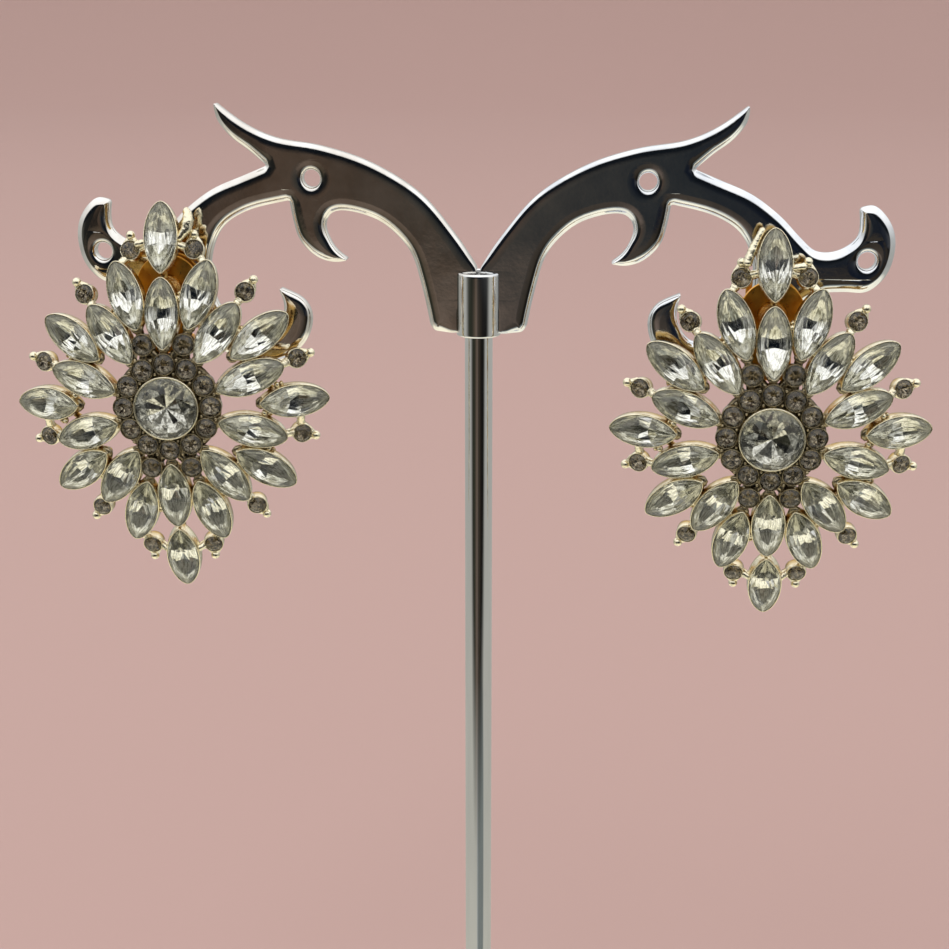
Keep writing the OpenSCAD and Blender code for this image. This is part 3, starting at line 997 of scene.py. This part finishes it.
def edge_width(loop, normals):
    """How wide the plate's edge is rounded: most at the outer end, hardly at the collar."""
    x, z = np.abs(loop[:, 0]), loop[:, 1]
    wide = ROUNDING + (ROUNDING_WIDE - ROUNDING) * np.clip((x - WIDE_FROM) / (WIDE_TO - WIDE_FROM), 0, 1)
    crown = (normals[:, 1] < -0.3) & ((x < CROWN_TO) | (z > CROWN_ABOVE))
    wide = np.where(crown, wide * CROWN_SHARE, wide) * clear_of_collar(loop)
    for turn in range(6):
        wide = evened(wide)
    return wide


def clear_of_collar(loop):
    """A share that grows from almost nothing at the collar to 1 well clear of it."""
    low, high = size_of("stand_collar")
    near, far = COLLAR_BESIDE
    beside = (np.abs(loop[:, 0]) - near) / (far - near)
    above = (loop[:, 1] - high[2]) / COLLAR_ABOVE
    return np.clip(np.maximum(beside, above), COLLAR_SHARE, 1)


def domed(beyond):
    """How far the face falls towards its rounded edge, at a distance inside the rounding."""
    return DOME_SLOPE * np.maximum(DOME_REACH - beyond, 0) ** 2 / (2 * DOME_REACH)


def arm_outlines(name):
    """A plate's outline, tucked in where the collar holds it, and its holes'. The plate is on their left."""
    loops = [resampled(loop) for loop in front_loops(name)]
    for i, loop in enumerate(loops):
        x, z = loop.T
        clockwise = (x * np.roll(z, -1) - np.roll(x, -1) * z).sum() < 0
        if clockwise == (i == 0):
            loops[i] = loop[::-1]
    low, high = size_of("stand_collar")
    outer = loops[0]
    tucked = (np.abs(outer[:, 0]) < high[0] + 0.3) & (outer[:, 1] < low[2] + SLOT_FLOOR)
    outer[tucked, 0] = np.clip(outer[tucked, 0], -COLLAR_TUCK, COLLAR_TUCK)
    for turn in range(2):
        outer = outer * 0.6 + (np.roll(outer, 1, axis=0) + np.roll(outer, -1, axis=0)) * 0.2
    return [outer, *loops[1:]]


def edge_rows(loop, outline, half, is_hole):
    """Rows of points from a plate's edge to its slightly domed face, and how far each is from the middle."""
    normals = inward(loop)
    clear = clear_of_collar(loop)
    most = reach_inside(loop, normals, outline, ROUNDING_WIDE + DOME_REACH)
    reach = np.minimum(most, ROUNDING_HOLE if is_hole else edge_width(loop, normals))
    most = np.maximum(most * DOME_SHARE, reach + 0.05)
    for turn in range(4):
        reach = np.minimum(reach, evened(reach))
        most = np.minimum(most, evened(most))
    rows = []
    for k in range(ROUNDING_STEPS + 1):
        share = 1 - cos(pi / 2 * k / ROUNDING_STEPS)
        rise = (1 - (1 - share) ** ROUNDING_POWER) ** (1 / ROUNDING_POWER)
        drop = domed(0) * clear + np.minimum(ROUNDING_DEPTH, 1.1 * reach) * (1 - rise)
        rows.append((loop + normals * (reach * share)[:, None], half - drop))
    for k in range(1, DOME_STEPS + 1):
        beyond = np.minimum(DOME_REACH * k / DOME_STEPS, most - reach)
        rows.append((loop + normals * (reach + beyond)[:, None], half - domed(beyond) * clear))
    rows.append((rows[-1][0] + normals * 0.04, rows[-1][1]))
    return rows


def make_arm(side):
    name = f"stand_arm_{side}"
    low, high = size_of(name)
    loops = arm_outlines(name)
    outline = np.concatenate(loops)
    shape = Shape()
    inner = []
    for rank, loop in enumerate(loops):
        rows = edge_rows(loop, outline, (high[1] - low[1]) / 2, rank > 0)
        rings = [[(x, -y, z) for (x, z), y in zip(spots, depth)] for spots, depth in reversed(rows)]
        rings += [[(x, y, z) for (x, z), y in zip(spots, depth)] for spots, depth in rows]
        shape.loft(rings, caps=False)
        inner.append((rings[0], rings[-1]))
    for rings in zip(*inner):
        triangles = tessellate_polygon([[Vector((x, z, 0)) for x, y, z in ring] for ring in rings])
        shape.add([p for ring in rings for p in ring], triangles)
    shape.piece(f"arm_{side}", (ARM_PLATING[side],), name, gap=WELD)


# Clips

def inset_outline(outline, amount):
    """An outline moved inwards along its corners' normals."""
    count = len(outline)
    moved = []
    for i in range(count):
        before, here, after = (Vector(outline[(i + k) % count]) for k in (-1, 0, 1))
        ahead = (after - before).normalized()
        moved.append((here.x - ahead.y * amount, here.y + ahead.x * amount))
    return moved


def add_sheet(shape, outline, low, high, edge, place, across=False):
    """A flat sheet with rounded edges, from its anticlockwise outline, flat or across the earring."""
    rings = []
    for k in range(4):
        lean = pi / 2 * k / 3
        rings.append((edge * (1 - sin(lean)), low + edge * (1 - cos(lean))))
    rings += [(inset, low + high - z) for inset, z in reversed(rings)]
    shape.loft([
        [(z, x, y) if across else (x, y, z) for x, y in inset_outline(outline, inset)] for inset, z in rings
    ], place)


def paddle(half, foot, middle, radius, steps=40, corner=0.35):
    """The outline of a strap that ends in a round pad."""
    start = -pi / 2 + asin(half / radius)
    bend = [start + (pi - 2 * asin(half / radius) + pi) * i / steps for i in range(steps + 1)]
    side = [(half - corner, foot), (half - 0.1, foot + 0.1), (half, foot + corner)]
    side += [(half, foot + (middle - radius - foot) * s) for s in (0.3, 0.6, 0.85)]
    pad = [(radius * cos(a), middle + radius * sin(a)) for a in bend]
    other = [(-x, y) for x, y in reversed(side)]
    return other[-1:] + side + pad + other[:-1]


def ear_outline(low, steps=16):
    """A clip's ear seen from its side: round about the hinge and straight up to the plate."""
    bend = [pi + pi * i / steps for i in range(steps + 1)]
    outline = [(HINGE_UP + EAR_RADIUS * cos(a), HINGE_OUT + EAR_RADIUS * sin(a)) for a in bend]
    return outline + [(HINGE_UP + EAR_RADIUS, low), (HINGE_UP - EAR_RADIUS, low)]


def hinge_rings(section, steps):
    """Rings about the hinge's axis, from pairs of a place along it and a radius."""
    return [[(x, HINGE_UP + y, HINGE_OUT + z) for y, z, _ in circle_ring(r, 0, steps)] for x, r in section]


def make_clips(earring):
    side, place = earring.side, earring.place
    shape = Shape()
    plate = paddle(PLATE_HALF, HINGE_UP - EAR_RADIUS, PLATE_UP, PLATE_RADIUS)
    add_sheet(shape, plate, PLATE_BACK, PLATE_BACK + SHEET, PLATE_EDGE, place)
    ear = ear_outline(PLATE_BACK + SHEET / 2)
    for low in (-PLATE_HALF, PLATE_HALF - EAR_THICK):
        add_sheet(shape, ear, low, low + EAR_THICK, EAR_EDGE, place, True)
    pin = [(-PLATE_HALF + x, r) for x, r in PIN_HEAD]
    shape.loft(hinge_rings(pin + [(-x, r) for x, r in reversed(pin)], 24), place)
    shape.piece(f"{side}_clip_plate", (AMBER_GOLD,), f"{side}_clip_base")

    shape = Shape()
    back = LEVER_FRONT - SHEET
    strap = paddle(LEVER_HALF, HINGE_UP - BARREL + 0.02, PAD_UP, PAD_RADIUS)
    add_sheet(shape, strap, back, LEVER_FRONT, LEVER_EDGE, place)
    bore = (-LEVER_HALF, PIN + PIN_FIT)
    barrel = [bore, (-LEVER_HALF, BARREL - BARREL_EDGE), (-LEVER_HALF + BARREL_EDGE, BARREL)]
    barrel += [(-x, r) for x, r in reversed(barrel)] + [bore]
    shape.loft(hinge_rings(barrel, 32), place, caps=False)
    for way in (-1, 1):
        y, low, high = HINGE_UP + way * (BARREL - 0.2), back + 0.3, HINGE_OUT + way * 0.02
        near, far = y - CHEEK_HALF, y + CHEEK_HALF
        cheek = [(near, low), (far, low), (far, high), (near, high)]
        add_sheet(shape, cheek, -LEVER_HALF + CHEEK_IN, LEVER_HALF - CHEEK_IN, CHEEK_EDGE, place, True)
    rim = [(PAD_RADIUS - inset, back + 0.05 - h) for inset, h in PAD_RIM + PAD_RIM[:1]]
    shape.loft(turned(rim, 48, PAD_UP), place, caps=False)
    lever = f"{side}_clip_lever"
    shape.piece(f"{side}_clip_paddle", (AMBER_GOLD,), lever, lever, WELD)


# Stage

def add_stage(name, points, faces, hidden_from):
    """A painted sheet of the stage, which some kinds of ray don't see."""
    mesh = bpy.data.meshes.new(name)
    mesh.from_pydata(points, [], faces)
    for polygon in mesh.polygons:
        polygon.use_smooth = True
    mesh.materials.append(floor_paint(f"{name}_paint"))
    made = linked(name, mesh)
    for kind in hidden_from:
        setattr(made, f"visible_{kind}", False)


def make_floor():
    """A pale floor that sweeps up far behind."""
    section = [(FLOOR_FRONT, 0.0), (FLOOR_BACK, 0.0)]
    for i in range(1, FLOOR_STEPS + 1):
        a = pi / 2 * i / FLOOR_STEPS
        section.append((FLOOR_BACK + FLOOR_BEND * sin(a), FLOOR_BEND * (1 - cos(a))))
    section.append((FLOOR_BACK + FLOOR_BEND, FLOOR_TOP))
    points = [(x, y, z) for y, z in section for x in (-FLOOR_HALF, FLOOR_HALF)]
    faces = [(2 * i, 2 * i + 1, 2 * i + 3, 2 * i + 2) for i in range(len(section) - 1)]
    add_stage("floor", points, faces, ("glossy", "transmission"))


def make_curtain():
    """A pale curtain all round, which only the camera sees."""
    count = CURTAIN_STEPS
    points = circle_ring(CURTAIN_RADIUS, 0.0, count) + circle_ring(CURTAIN_RADIUS, CURTAIN_TOP, count)
    faces = [(i, (i + 1) % count, count + (i + 1) % count, count + i) for i in range(count)]
    add_stage("curtain", points, faces, ("diffuse", "glossy", "transmission", "shadow"))


def ramp(tree, value, low, high, stops):
    """A colour that follows a value from low to high through the stops."""
    node = tree.nodes.new("ShaderNodeValToRGB")
    tree.links.new(ranged(tree, value, 0, 1, low, high), node.inputs["Fac"])
    elements = node.color_ramp.elements
    while len(elements) < len(stops):
        elements.new(0.5)
    for element, (spot, colour) in zip(elements, stops):
        element.position = (spot - low) / (high - low)
        element.color = (*colour, 1)
    return node.outputs["Color"]


def oval(tree, turn, height, middle, reach):
    """A soft-edged patch of sky: 1 inside and 0 outside, from its middle and reach in degrees."""
    shares = []
    for value, centre, half in zip((turn, height), middle, reach):
        offset = maths(tree, "ABSOLUTE", maths(tree, "SUBTRACT", value, centre))
        shares.append(maths(tree, "POWER", maths(tree, "DIVIDE", offset, half), 3))
    return ranged(tree, maths(tree, "ADD", *shares), 1, 0, 1 - PATCH_SOFT, 1 + PATCH_SOFT)


def make_world():
    """Soft light: a bright ceiling and sides, a dark room in front and a cream table below."""
    world = bpy.data.worlds.new("studio")
    bpy.context.scene.world = world
    world.use_nodes = True
    tree = world.node_tree
    way = parts(tree, node(tree, "TexCoord")["Generated"])
    ahead = maths(tree, "MULTIPLY", way["Y"], -1)
    turn = maths(tree, "MULTIPLY", maths(tree, "ARCTAN2", way["X"], ahead), degrees(1))
    height = maths(tree, "MULTIPLY", maths(tree, "ARCSINE", way["Z"]), degrees(1))

    low, high, table = (ramp(tree, turn, -60, 60, stops) for stops in (ROOM_LOW, ROOM_HIGH, TABLE_EDGE))
    room = blended(tree, ranged(tree, height, 0, 1, *ROOM_LOW_TO_HIGH), low, high)
    room = blended(tree, ranged(tree, height, 0, 1, *ROOM_HIGH_TO_TOP), room, ROOM_TOP)
    sky = ramp(tree, height, -90, 90, SKY)
    sky = blended(tree, oval(tree, turn, height, TABLE_MIDDLE, TABLE_REACH), sky, table)
    sky = blended(tree, oval(tree, turn, height, ROOM_MIDDLE, ROOM_REACH), sky, room)
    tree.links.new(sky, tree.nodes["Background"].inputs["Color"])


def make_lights():
    """One large soft light above and in front, which metal and glass don't mirror."""
    data = bpy.data.lights.new("softbox", "AREA")
    data.shape = "RECTANGLE"
    data.size, data.size_y = LAMP_SIZE
    data.energy = LAMP_POWER
    light = linked("softbox", data)
    light.location = LAMP_AT
    aim = Vector(LAMP_AIM) - light.location
    light.rotation_euler = aim.to_track_quat("-Z", "Y").to_euler()
    light.visible_glossy = False
    light.visible_transmission = False


def make_camera():
    flat = cos(VIEW_ELEVATION)
    back = Vector((sin(VIEW_AZIMUTH) * flat, -cos(VIEW_AZIMUTH) * flat, sin(VIEW_ELEVATION)))
    data = bpy.data.cameras.new("camera")
    data.sensor_width = SENSOR
    data.lens = LENS
    data.clip_start = 0.01
    camera = linked("camera", data)
    camera.location = (VIEW_TARGET + back * VIEW_DISTANCE) * MM
    camera.rotation_euler = (-back).to_track_quat("-Z", "Y").to_euler()
    bpy.context.scene.camera = camera


make_camera()
make_floor()
make_curtain()
make_world()
make_lights()
make_rod_and_foot()
for side in ("left", "right"):
    make_arm(side)
    earring = Earring(side)
    make_stones(earring)
    make_setting(earring)
    make_clips(earring)

scene = bpy.context.scene
scene.view_settings.view_transform = "Standard"
scene.cycles.glossy_bounces = 8
